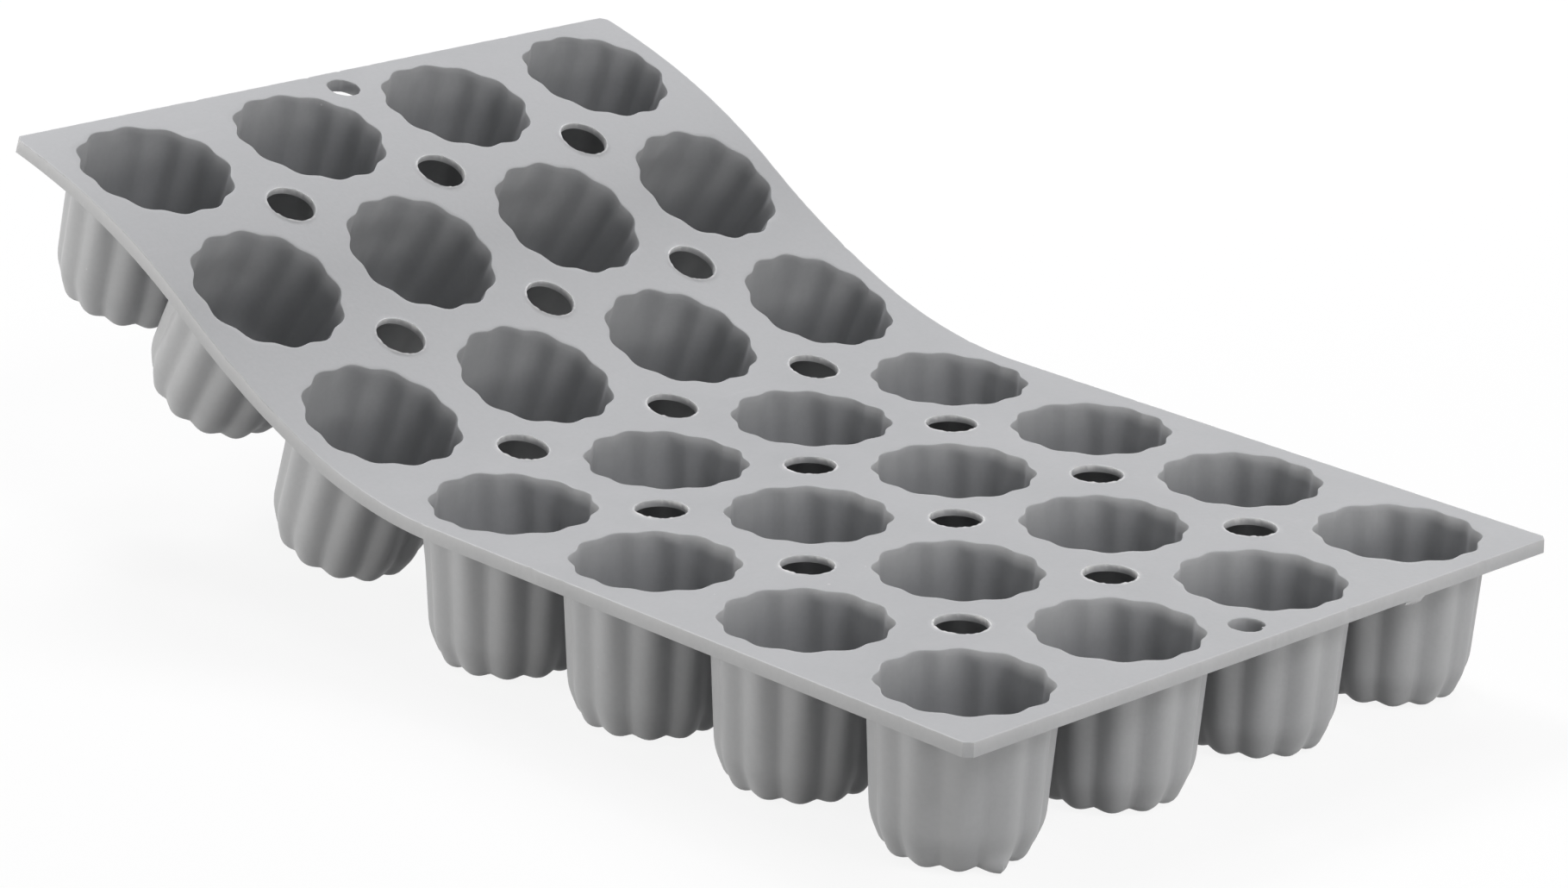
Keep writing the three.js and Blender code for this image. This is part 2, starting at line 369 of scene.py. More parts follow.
@dataclass(frozen=True)
class CupShape:
    """Outline of a cup's crests, from its rim to the middle of its base, and its wall."""

    outer_radius: float = 18.85
    taper: float = 3.8
    shoulder_height: float = 6.4
    base_radius: float = 14.35
    wall: float = 1.2
    rounding: float = 4.4
    rim_fillet: float = 0.9
    rim_reach: float = 6.0
    smooth_base: tuple[float, float] = (6.0, 12.5)
    settles_by: float = 14.0
    fineness: float = 0.1
    steps: int = 48
    turns: int = 120

    def outside(self, depth: float) -> float:
        """Outer radius of the crests on the straight side, at a depth below the sheet's top face."""
        return self.outer_radius - depth * math.tan(math.radians(self.taper))

    def inside(self, depth: float) -> float:
        """Inner radius of the crests on the straight side, at a depth below the sheet's top face."""
        return self.outside(depth) - self.wall

    def crest_line(self, sizes: MouldSizes) -> tuple[Floats, Floats]:
        """Radius and depth along the outer crests.

        Formula: straight lines from the rim to the shoulder, the base's edge and the base's middle, read
        at even steps of length and averaged over a short window to round the corners off, with the
        ends kept in place by odd reflection.

        Args:
            sizes: Sizes of the mould, for the depths of the rim and of the base.

        Returns:
            Radii and depths from the rim to the middle of the base.
        """
        base = sizes.sheet_height
        shoulder = base - self.shoulder_height
        corners = np.array([
            (self.outside(sizes.web), sizes.web),
            (self.outside(shoulder), shoulder),
            (self.base_radius, base),
            (0.0, base),
        ])
        length = np.concatenate([[0.0], np.cumsum(np.hypot(*np.diff(corners, axis=0).T))])
        dense = np.arange(0.0, length[-1], self.fineness)
        window = round(self.rounding / self.fineness) // 2
        kernel = np.ones(2 * window + 1) / (2 * window + 1)
        lines = [np.interp(dense, length, corners[:, axis]) for axis in (0, 1)]
        rounded = [
            np.convolve(np.pad(line, window, mode="reflect", reflect_type="odd"), kernel, mode="valid")
            for line in lines
        ]
        picks = np.linspace(0.0, dense[-1], self.steps)
        radius, depth = (np.interp(picks, dense, line) for line in rounded)
        radius[-1] = 0.0
        return radius, depth


def profile_normal(radius: Floats, depth: Floats) -> tuple[Floats, Floats]:
    """Outward and downward parts of the unit normal along a profile that runs from rim to base."""
    outward, inward = np.gradient(depth), np.gradient(radius)
    length = np.hypot(outward, inward)
    return outward / length, -inward / length


@dataclass(frozen=True)
class ToeSpur:
    """Flash at the toe of one cup, which draws one of its lobes out to a point."""

    row: int = 7
    column: int = 1
    turn: float = math.radians(255.0)
    half_width: float = math.radians(14.0)
    reach: float = 2.3
    height: float = 5.5
    base_fade: tuple[float, float] = (10.0, 13.0)

    def push(self, radius: Floats, depth: Floats, turn: Floats) -> Floats:
        """How far the spur draws the outer wall out.

        Formula: the reach, times a peak that falls evenly to 0 at half its width either side, times a
        smoothstep down the spur's height, faded out again under the base.

        Args:
            radius: Radii along the crest line, from rim to base.
            depth: Depths along it.
            turn: Angles round the cup.

        Returns:
            Distances in millimetres, shaped steps by turns.
        """
        peak = np.clip(1.0 - np.abs(turn - self.turn) / self.half_width, 0.0, 1.0)
        down = smoothstep(depth[-1] - self.height, depth[-1], depth) * smoothstep(*self.base_fade, radius)
        return self.reach * down[:, None] * peak[None, :]


@dataclass(frozen=True)
class FlutedCup:
    """One cup: a fluted shell, straight in its row's frame, whose rim follows the bent sheet."""

    curve: SheetCurve
    shape: CupShape
    inner: Fluting
    outer: Fluting
    spur: ToeSpur
    row: int
    column: int

    def _wall(self, fluting: Fluting, radius: Floats, depth: Floats, turn: Floats) -> tuple[Floats, Floats]:
        """Carry a crest line round the cup, pushed in along its own normal by the grooves.

        Args:
            fluting: Lobes of the wall.
            radius: Radii along the crest line, from rim to base.
            depth: Depths along it.
            turn: Angles round the cup.

        Returns:
            Radii and depths, shaped steps by turns.
        """
        outward, downward = profile_normal(radius, depth)
        groove = fluting.groove(turn[None, :], depth[:, None])
        groove = groove * smoothstep(*self.shape.smooth_base, radius)[:, None]
        near_rim = smoothstep(0.0, self.shape.rim_reach, depth - depth[0])
        return (
            radius[:, None] - groove * outward[:, None],
            depth[:, None] - groove * (downward * near_rim)[:, None],
        )

    def build(self, finish: bpy.types.Material) -> bpy.types.Object:
        """Make the cup: inner floor and wall upwards, the rim, the outer wall and base downwards.

        Args:
            finish: Material of the cup.

        Returns:
            The cup's object.
        """
        sizes = self.curve.sizes
        shape = self.shape
        turn = np.linspace(0.0, FULL_TURN, shape.turns + 1)
        radius, depth = shape.crest_line(sizes)
        outward, downward = profile_normal(radius, depth)
        inner_radius = np.maximum(radius - shape.wall * outward, 0.0)
        inner_depth = depth - shape.wall * downward
        inner_depth[0] = sizes.web
        inner_radius[0] = shape.inside(sizes.web)
        inner_radius[-1] = 0.0
        inside = self._wall(self.inner, inner_radius, inner_depth, turn)
        flare = np.clip(1.0 - (depth - sizes.web) / shape.rim_fillet, 0.0, 1.0)
        flared = radius + shape.rim_fillet * (1.0 - np.sqrt(1.0 - flare**2))
        outside = self._wall(self.outer, flared, depth, turn)
        if (self.row, self.column) == (self.spur.row, self.spur.column):
            outside = (outside[0] + self.spur.push(radius, depth, turn), outside[1])
        reach = np.concatenate([inside[0][::-1], outside[0]])
        below = np.concatenate([inside[1][::-1], outside[1]])
        across = sizes.column_place(self.column) + reach * np.cos(turn)
        run = reach * np.sin(turn)
        middle = sizes.row_station(self.row)
        bent = self.curve.under(across, middle + run, below)
        straight = self.curve.under(across, middle, below, run)
        settled = smoothstep(sizes.web, shape.settles_by, below)[..., None]
        surface = Surface()
        surface.add(mix(bent, straight, settled))
        piece = surface.to_object(f"cup_{self.row}_{self.column}", finish)
        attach(piece, f"row_{self.row}")
        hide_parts(f"row_{self.row}_cup_{self.column}")
        return piece


@dataclass
class Boundary:
    """Outer line of a cell: its points, the way into the rubber, its burrs (raised pale flash, also lightened
    as a painted highlight) and which steps are free edges.
    """

    points: Floats
    inward: Floats
    burr: Floats
    free: Flags


@dataclass(frozen=True)
class SheetDetail:
    """Small forms of the sheet's edges, their painted highlights, and the fineness of its grid."""

    lip: float = 0.2
    # Painted highlight along the middle of each mouth's rounded lip.
    painted_lip_highlight: float = 0.1
    edge_insets: tuple[float, ...] = (0.6, 0.36, 0.13, 0.03, 0.0)
    edge_depths: tuple[float, ...] = (0.0, 0.0, 0.02, 0.09, 0.24)
    edge_rises: tuple[float, ...] = (0.0, 0.5, 1.0, 0.75, 0.1)
    burr_height: float = 0.4
    least_burr: float = 0.3
    # Painted highlight along the sheet's outer edges.
    painted_edge_highlight: float = 0.3
    edge_wobble: float = 0.07
    wobble_rates: tuple[float, float] = (0.9, 2.3)
    wobble_shares: tuple[float, float] = (0.6, 0.4)
    nick_depth: float = 0.4
    nick_rates: tuple[float, float] = (0.37, 1.71)
    nick_shift: float = 1.0
    nick_from: float = 0.86
    wall_shares: tuple[float, ...] = (1.0, 0.6)
    top_shares: tuple[float, ...] = (0.14, 0.32, 0.5, 0.68, 0.86)
    under_shares: tuple[float, ...] = (0.92, 0.84, 0.76, 0.66, 0.54, 0.4, 0.24, 0.1)
    lip_steps: int = 4
    turns: int = 120
    vent_steps: int = 14
    hang_cell_half_width: float = 5.0
    hang_cell_length: float = 13.7
    hang_edge_steps: int = 14
    hang_ragged: float = 0.22
    hang_seed: float = 3.0
    hang_tear: float = 1.0
    hang_tear_turn: float = -1.15
    hang_tear_width: float = 0.2
    blend_reach: float = 4.0


@dataclass(frozen=True)
class Cell:
    """The sheet round one cup's mouth, out to the lines halfway to its neighbours or to the sheet's edge."""

    sizes: MouldSizes
    detail: SheetDetail
    row: int
    column: int

    def is_free(self, side: Side) -> bool:
        """Whether a side of the cell is an edge of the sheet."""
        last = {Side.RIGHT: self.column == self.sizes.columns, Side.LEFT: self.column == 1,
                Side.RAISED: self.row == 1, Side.FLAT: self.row == self.sizes.rows}
        return last[side]

    def reach(self, side: Side) -> float:
        """Distance from the cup's centre to a side of the cell."""
        if side in (Side.RIGHT, Side.LEFT):
            return self.sizes.side_margin if self.is_free(side) else self.sizes.column_pitch / 2
        return self.sizes.end_margin if self.is_free(side) else self.sizes.row_pitch / 2

    def corner(self, across: Side, along: Side) -> Floats:
        """Place of the corner where two sides meet."""
        return way_out(across, along) * np.array([self.reach(across), self.reach(along)])

    def corners(self) -> list[tuple[Side, Side, Floats]]:
        """The cell's four corners: the two sides that meet there, and the place."""
        return [
            (across, along, self.corner(across, along))
            for across in (Side.RIGHT, Side.LEFT)
            for along in (Side.RAISED, Side.FLAT)
        ]

    def vents(self) -> list[tuple[Floats, float]]:
        """Centre and seed of each vent, at the corners that four cells share."""
        found = []
        for across, along, place in self.corners():
            if not self.is_free(across) and not self.is_free(along):
                line_across = self.column + (across is Side.RIGHT)
                line_along = self.row + (along is Side.FLAT)
                found.append((place, 1.0 + line_across + self.sizes.columns * line_along))
        return found

    def hang_cut(self) -> tuple[Side, Side] | None:
        """Sides at whose corner a hanging hole's patch is cut out of the cell, if one is."""
        middle = self.sizes.columns // 2
        across = {middle: Side.RIGHT, middle + 1: Side.LEFT}.get(self.column)
        along = {1: Side.RAISED, self.sizes.rows: Side.FLAT}.get(self.row)
        return (across, along) if across and along else None

    def hang_corner(self, across: Side, along: Side) -> Floats:
        """Inner corner of the hanging hole's patch."""
        patch = np.array([self.detail.hang_cell_half_width, self.detail.hang_cell_length])
        return self.corner(across, along) - way_out(across, along) * patch

    def turns(self, start: float, end: float) -> Floats:
        """Angles at which the cell is cut into columns.

        Formula: even steps, with the steps near a corner of the outline or the end of a vent's arc
        replaced by the corner's own angle, so that neighbouring cells share their points.

        Args:
            start: First angle.
            end: Last angle.

        Returns:
            Rising angles from start to end.
        """
        radius = self.sizes.vent_radius
        cut_back = np.eye(2) * self.sizes.corner_cut
        keys = []
        for across, along, place in self.corners():
            if self.is_free(across) and self.is_free(along):
                keys += [place - np.sign(place) * step for step in cut_back]
            elif self.is_free(across) or self.is_free(along):
                keys.append(place)
        cut = self.hang_cut()
        if cut:
            inner, outer = self.hang_corner(*cut), self.corner(*cut)
            keys += [inner, np.array([inner[0], outer[1]]), np.array([outer[0], inner[1]])]
        angles = [bearings(place) for place in keys]
        for centre, _ in self.vents():
            ends = centre - np.diag(np.sign(centre) * radius)
            first, last = bearings(ends)
            angles += np.linspace(first, last, self.detail.vent_steps + 1).tolist()
        keyed = (np.array(angles) - start) % FULL_TURN + start
        keyed = keyed[keyed < end]
        even = np.linspace(start, end, round(self.detail.turns * (end - start) / FULL_TURN) + 1)
        gap = np.pi / self.detail.turns
        apart = np.abs(even[:, None] - keyed).min(axis=1) > gap
        apart[[0, -1]] = True
        return np.sort(np.concatenate([even[apart], keyed]))

    def _edges(self) -> list[tuple[Floats, float, bool]]:
        """The cell's sides and cut corners, each as a normal, a distance and whether it is free."""
        edges = [(np.array(side.value), self.reach(side), self.is_free(side)) for side in Side]
        for across, along, place in self.corners():
            if self.is_free(across) and self.is_free(along):
                normal = np.sign(place) / math.sqrt(2.0)
                edges.append((normal, place @ normal - self.sizes.corner_cut / math.sqrt(2.0), True))
        return edges

    def _vent_entry(self, ray: Floats, centre: Floats) -> Floats:
        """Distance at which each ray meets a vent's circle, infinite where it misses."""
        towards = ray @ centre
        under = towards**2 - centre @ centre + self.sizes.vent_radius**2
        return np.where((under >= 0) & (towards > 0), towards - np.sqrt(np.maximum(under, 0)), np.inf)

    def boundary(self, turns: Floats) -> Boundary:
        """Where rays from the cup's centre leave the cell.

        Formula: the least of the distances to the four sides, the sheet's cut corners, the vents' circles
        and the hanging hole's patch; at a free edge the way into the rubber is the edge's own normal, and
        where two edges meet it is their mitre, the sum of their normals times two over its square.

        Args:
            turns: Angles of the rays.

        Returns:
            The boundary at those rays.
        """
        ray = rays(turns)
        edges = self._edges()
        limits = [reach / np.maximum(ray @ normal, TINY) for normal, reach, _ in edges]
        distance = np.minimum.reduce(limits)
        cut = self.hang_cut()
        if cut:
            inner = np.abs(self.hang_corner(*cut))
            into = [size / np.maximum(ray @ np.array(side.value), TINY) for size, side in zip(inner, cut)]
            distance = np.minimum(distance, np.maximum(*into))
        vents = [(centre, seed, self._vent_entry(ray, centre)) for centre, seed in self.vents()]
        distance = np.minimum.reduce([distance, *(entry for _, _, entry in vents)])
        points = ray * distance[:, None]
        inward = np.zeros_like(points)
        burr = np.zeros(len(turns))
        free = np.zeros(len(turns) - 1, dtype=bool)
        meeting = np.zeros(len(turns))
        for (normal, _, is_free), limit in zip(edges, limits):
            on_edge = (limit <= distance + SAME) & is_free
            inward -= on_edge[:, None] * normal
            meeting += on_edge
            free |= on_edge[:-1] & on_edge[1:]
        inward *= (meeting / np.maximum((inward**2).sum(axis=1), SAME))[:, None]
        for centre, seed, entry in vents:
            on_vent = entry <= distance + SAME
            away = (points - centre) / self.sizes.vent_radius
            inward = np.where(on_vent[:, None], away, inward)
            torn = mix(self.detail.least_burr, 1.0, ragged(bearings(away), seed))
            burr = np.where(on_vent, torn, burr)
            free |= on_vent[:-1] & on_vent[1:]
        return Boundary(points, inward, burr, free)


@dataclass
class SheetPanel:
    """The sheet between two rows' centre lines, or on to its end, which bends at the vents between."""

    curve: SheetCurve
    shape: CupShape
    fluting: Fluting
    detail: SheetDetail
    upper_row: int
    surface: Surface = field(default_factory=Surface)

    @property
    def sizes(self) -> MouldSizes:
        """Sizes of the mould."""
        return self.curve.sizes

    def _worn(self, across: Floats, station: Floats) -> Floats:
        """How far the sheet's outer edge is worn back.

        Formula: a wobble of two sines, and a nick wherever the product of two other sines is near 1.

        Args:
            across: Places across the sheet.
            station: Places along it.

        Returns:
            Distances in millimetres.
        """
        detail = self.detail
        place = across + station
        slow, quick = (
            share * np.sin(rate * place) for share, rate in zip(detail.wobble_shares, detail.wobble_rates)
        )
        first, second = detail.nick_rates
        peaks = np.sin(first * place + detail.nick_shift) * np.sin(second * place)
        nicks = detail.nick_depth * smoothstep(detail.nick_from, 1.0, peaks)
        return detail.edge_wobble * (1.0 + slow + quick) + nicks

    def _add_band(self, origin: tuple[float, float], mouth: Floats, out: Floats, slope: float,
                  boundary: Boundary, capped: bool) -> None:
        """Add the closed band of sheet between a mouth and the boundary round it.

        Formula: a profile of rings carried round the mouth: its wall, a quarter round to the top face,
        straight lines to the boundary, a worn or burred edge, and the underside back to the wall. The lip and
        the outer edges are lightened as painted highlights, and the burrs as pale flash with a painted
        highlight.

        Args:
            origin: Place across the sheet and station of the mouth's centre.
            mouth: The mouth's outline at the top face.
            out: Unit steps away from the mouth.
            slope: How far the mouth narrows for each unit of depth.
            boundary: Outer line of the band.
            capped: Whether the band's two ends are closed.
        """
        detail = self.detail
        points, inward = boundary.points, boundary.inward
        floor = self.sizes.underside(origin[0] + mouth[:, 0], origin[1] + mouth[:, 1])
        on_edge = np.abs(inward).max(axis=1)
        plain = np.zeros(len(mouth))
        rings = [
            (mouth - out * (slope * floor * share)[:, None], floor * share, plain)
            for share in detail.wall_shares
        ]
        # The lip's quarter round is lightened at its middle: a painted highlight.
        lip_turns = np.linspace(0.0, np.pi / 2, detail.lip_steps)
        rings += [
            (mouth + out * detail.lip * (1.0 - math.cos(turn)), plain + detail.lip * (1.0 - math.sin(turn)),
             plain + detail.painted_lip_highlight * math.sin(2.0 * turn))
            for turn in lip_turns
        ]
        start = mouth + out * detail.lip
        end = points + inward * detail.edge_insets[0]
        rings += [(mix(start, end, share), plain, plain) for share in detail.top_shares]
        first_edge = len(rings)
        outer = (on_edge > 0) & (boundary.burr == 0)
        worn = self._worn(origin[0] + points[:, 0], origin[1] + points[:, 1]) * outer
        for inset, drop, rise in zip(detail.edge_insets, detail.edge_depths, detail.edge_rises):
            height = drop * on_edge - detail.burr_height * rise * boundary.burr
            # Painted highlight along the outer edges; on the vents' burrs, pale torn flash with a painted
            # highlight on it.
            flash_and_highlight = on_edge * (rise > 0) * np.maximum(detail.painted_edge_highlight * outer, boundary.burr)
            back = inset + worn * (1.0 - inset / detail.edge_insets[0])
            rings.append((points + inward * back[:, None], height, flash_and_highlight))
        last_edge = len(rings)
        foot = mouth - out * (slope * floor)[:, None]
        for share in (1.0, *detail.under_shares):
            spot = mix(foot, points, share)
            rings.append((spot, self.sizes.underside(origin[0] + spot[:, 0], origin[1] + spot[:, 1]), plain))
        spots, depths, flash_and_highlights = (np.stack(part) for part in zip(*rings))
        keep = np.ones((len(rings), len(mouth) - 1), dtype=bool)
        keep[first_edge:last_edge] = boundary.free
        placed = self.curve.under(origin[0] + spots[..., 0], origin[1] + spots[..., 1], depths)
        self.surface.add(placed, flash_and_highlights, keep, ring_closed=True, capped=capped)

    def _add_cell(self, cell: Cell, start: float, end: float) -> None:
        """Add the part of one cell that lies between two angles."""
        turns = cell.turns(start, end)
        out = rays(turns)
        surface_depth = np.zeros_like(turns)
        radius = self.shape.inside(0.0) - self.fluting.groove(turns, surface_depth)
        slope = math.tan(math.radians(self.shape.taper))
        origin = (self.sizes.column_place(cell.column), self.sizes.row_station(cell.row))
        whole = np.isclose(end - start, FULL_TURN)
        self._add_band(origin, out * radius[:, None], out, slope, cell.boundary(turns), capped=not whole)

    def _add_hang_hole(self, cell: Cell) -> None:
        """Add the patch round the hanging hole, sharing its border with the two cells beside it.

        Args:
            cell: The cell on the left of the hole, whose cut gives half of the border.
        """
        across, along = cell.hang_cut()
        inner = cell.hang_corner(across, along)
        edge = along.value[1] * cell.reach(along)
        border = cell.boundary(cell.turns(0.0, FULL_TURN)).points
        beyond = (border - inner) * way_out(across, along)
        border = border[(beyond > -SAME).all(axis=1)] - np.array([cell.reach(across), 0.0])
        width = self.detail.hang_cell_half_width
        steps = np.linspace(-width, width, self.detail.hang_edge_steps + 1)[1:-1]
        free_edge = np.stack([steps, np.full_like(steps, edge)], axis=-1)
        inside = border[border[:, 0] < -SAME]
        border = np.concatenate([border, inside * np.array([-1.0, 1.0]), free_edge])
        hole = edge - along.value[1] * self.sizes.hang_hole_inset
        border = border - np.array([0.0, hole])
        turns = bearings(border)
        order = np.argsort(turns)
        order = np.append(order, order[0])
        border, turns = border[order], turns[order]
        out = rays(turns)
        on_edge = np.abs(border[:, 1] + hole - edge) < SAME
        inward = np.zeros_like(border)
        inward[:, 1] = -along.value[1] * on_edge
        detail = self.detail
        torn = self.sizes.hang_hole_radius - detail.hang_ragged * ragged(turns, detail.hang_seed + cell.row)
        if along is Side.FLAT:
            from_tear = np.abs(turns - detail.hang_tear_turn)
            torn -= detail.hang_tear * np.exp(-from_tear / detail.hang_tear_width)
        boundary = Boundary(border, inward, np.zeros(len(turns)), on_edge[:-1] & on_edge[1:])
        self._add_band((0.0, self.sizes.row_station(cell.row) + hole), out * torn[:, None], out, 0.0,
                       boundary, capped=False)

    def build(self, finish: bpy.types.Material) -> bpy.types.Object:
        """Make the panel from the cells of its two rows.

        Args:
            finish: Material of the sheet.

        Returns:
            The panel's object.
        """
        upper, lower = self.upper_row, self.upper_row + 1
        ends = {1: Side.RAISED, self.sizes.rows: Side.FLAT}
        spans = {upper: (np.pi, FULL_TURN), lower: (0.0, np.pi)}
        for row, span in spans.items():
            for column in range(1, self.sizes.columns + 1):
                cell = Cell(self.sizes, self.detail, row, column)
                self._add_cell(cell, *((0.0, FULL_TURN) if row in ends else span))
            if row in ends:
                self._add_hang_hole(Cell(self.sizes, self.detail, row, self.sizes.columns // 2))
        piece = self.surface.to_object(f"sheet_{upper}_{lower}", finish)
        middle = (self.sizes.row_station(upper) + self.sizes.row_station(lower)) / 2
        start, end = (
            self.curve.under(np.zeros(1), np.array([middle + way]), np.zeros(1))[0] * MM
            for way in (-self.detail.blend_reach, self.detail.blend_reach)
        )
        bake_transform(piece)
        rows = [upper, lower] if lower == self.sizes.rows else [upper]
        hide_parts(*(f"row_{row}_sheet" for row in rows))
        return piece


@dataclass(frozen=True)
class EdgeFlash:
    """A thin scrap of moulding flash under the flat end's edge: a ragged lens, half inside the rubber."""

    place_across: float = 44.0
    inset: float = 0.45
    half_width: float = 3.7
    reach: float = 1.45
    half_thickness: float = 0.42
    unevenness: float = 0.3
    seed: float = 2.0
    paleness: float = 0.2
    turns: int = 48
    steps: int = 14

    def build(self, curve: SheetCurve, finish: bpy.types.Material) -> bpy.types.Object:
        """Make the scrap and let it ride on the last row.

        Formula: an ellipsoid with axes across the sheet, down from it and along it, whose outline is pulled
        in unevenly.

        Args:
            curve: Side view of the sheet.
            finish: Its material.

        Returns:
            The scrap's object.
        """
        sizes = curve.sizes
        turn = np.linspace(0.0, FULL_TURN, self.turns + 1)[None, :]
        tilt = np.linspace(-np.pi / 2, np.pi / 2, self.steps)[:, None]
        outline = (1.0 - self.unevenness * ragged(turn, self.seed)) * np.cos(tilt)
        across = self.place_across + self.half_width * outline * np.cos(turn)
        station = self.inset - sizes.end_margin - self.half_thickness * np.sin(tilt)
        depth = sizes.rim + self.reach * outline * np.sin(turn)
        surface = Surface()
        surface.add(curve.under(across, station, depth), flash_and_highlight=np.full(across.shape, self.paleness))
        piece = surface.to_object("edge_flash", finish)
        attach(piece, f"row_{sizes.rows}")
        return piece


class Value:
    """A shader socket that takes part in arithmetic, each operator adding one Math node."""

    def __init__(self, bench: "Bench", socket: bpy.types.NodeSocket) -> None:
        """Wrap a socket of the bench's node tree."""
        self.bench = bench
        self.socket = socket

    def _joined(self, operation: str, first: "Value | float", second: "Value | float") -> "Value":
        """Add a Math node for an operation on two values."""
        return self.bench.value("ShaderNodeMath", {"operation": operation}, {0: first, 1: second})

    def __add__(self, other: "Value | float") -> "Value":
        """Sum with a value or number."""
        return self._joined("ADD", self, other)

    __radd__ = __add__

    def __sub__(self, other: "Value | float") -> "Value":
        """Difference from a value or number."""
        return self._joined("SUBTRACT", self, other)

    def __rsub__(self, other: "Value | float") -> "Value":
        """A number less this value."""
        return self._joined("SUBTRACT", other, self)

    def __mul__(self, other: "Value | float") -> "Value":
        """Product with a value or number."""
        return self._joined("MULTIPLY", self, other)

    __rmul__ = __mul__

    def larger(self, other: "Value | float") -> "Value":
        """The larger of this value and another."""
        return self._joined("MAXIMUM", self, other)

    def between(self, low: float, high: float) -> "Value":
        """Smooth step from 0 at low to 1 at high."""
        return self.bench.value(
            "ShaderNodeMapRange", {"interpolation_type": "SMOOTHSTEP"},
            {"Value": self, "From Min": low, "From Max": high},
        )


class Bench:
    """A node tree and the means to add nodes to it."""

    # Places of a Mix node's colour sockets, because its other types have sockets of the same names
    MIX_SHARE = 0
    MIX_FIRST = 6
    MIX_SECOND = 7
    MIX_RESULT = 2

    def __init__(self, tree: bpy.types.NodeTree) -> None:
        """Empty the tree."""
        self.tree = tree
        tree.nodes.clear()

    def node(self, kind: str, settings: dict[str, object],
             sockets: dict[str | int, object]) -> bpy.types.Node:
        """Add a node.

        Args:
            kind: Type of the node.
            settings: Its properties, set first.
            sockets: Numbers, colours, values or sockets for its inputs, by name or place.

        Returns:
            The new node.
        """
        made = self.tree.nodes.new(kind)
        for name, setting in settings.items():
            setattr(made, name, setting)
        for key, given in sockets.items():
            socket = made.inputs[key]
            if isinstance(given, Value):
                self.tree.links.new(given.socket, socket)
            elif isinstance(given, bpy.types.NodeSocket):
                self.tree.links.new(given, socket)
            else:
                socket.default_value = given
        return made

    def value(self, kind: str, settings: dict[str, object], sockets: dict[str | int, object],
              output: str | int = 0) -> Value:
        """Add a node and wrap one of its outputs."""
        return Value(self, self.node(kind, settings, sockets).outputs[output])

    def mixed(self, share: Value | float, first: object, second: object) -> bpy.types.NodeSocket:
        """Mix of two colours by a share of the second."""
        made = self.node("ShaderNodeMix", {"data_type": "RGBA"}, {
            self.MIX_SHARE: share, self.MIX_FIRST: first, self.MIX_SECOND: second})
        return made.outputs[self.MIX_RESULT]


@dataclass(frozen=True)
class Noise:
    """Scale, layers and roughness of a noise texture, whose values lie round the middle."""

    MIDDLE: ClassVar[float] = 0.5
    scale: float
    detail: float
    roughness: float

    def at(self, bench: Bench, place: bpy.types.NodeSocket) -> Value:
        """Add the texture to a bench, read at a place."""
        return bench.value("ShaderNodeTexNoise", {}, {
            "Vector": place, "Scale": self.scale, "Detail": self.detail, "Roughness": self.roughness})


